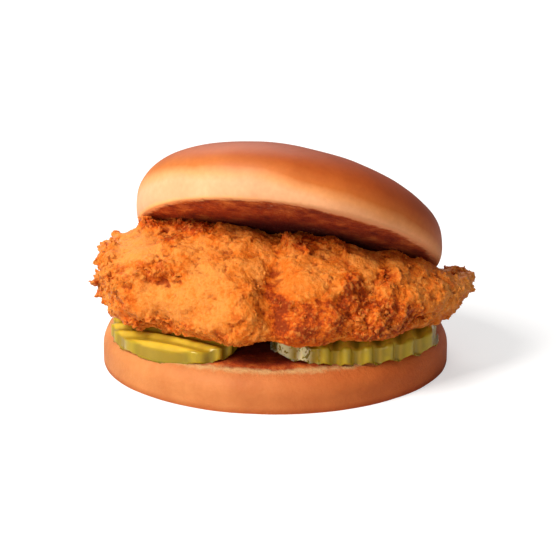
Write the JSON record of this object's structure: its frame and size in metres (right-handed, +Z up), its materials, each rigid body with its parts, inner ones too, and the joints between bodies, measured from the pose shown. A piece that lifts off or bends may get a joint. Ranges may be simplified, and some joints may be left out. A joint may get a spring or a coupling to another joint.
{
  "type": "chicken burger",
  "caption": "Fried chicken burger: breaded breast fillet on crinkle-cut gherkin slices in a soft round bun, its crown tilted back to show the toasted cut face.",
  "frame": {"origin": "middle of the heel's flat foot, on the surface that the burger stands on", "axes": "+X to the right along the fillet's length, +Y to the back, +Z up"},
  "size_m": [0.1174, 0.1065, 0.0742],
  "materials": {
    "bun": "soft baked crust with a satin sheen, toasted brown on the cut faces",
    "breading": "crisp fried breading, craggy and slightly oily",
    "gherkin": "wet, a little translucent"
  },
  "bodies": {
    "root": {"heel": "bun", "pickle_left": "gherkin", "pickle_right": "gherkin", "fillet": "breading", "crown": "bun"}
  },
  "joints": []
}
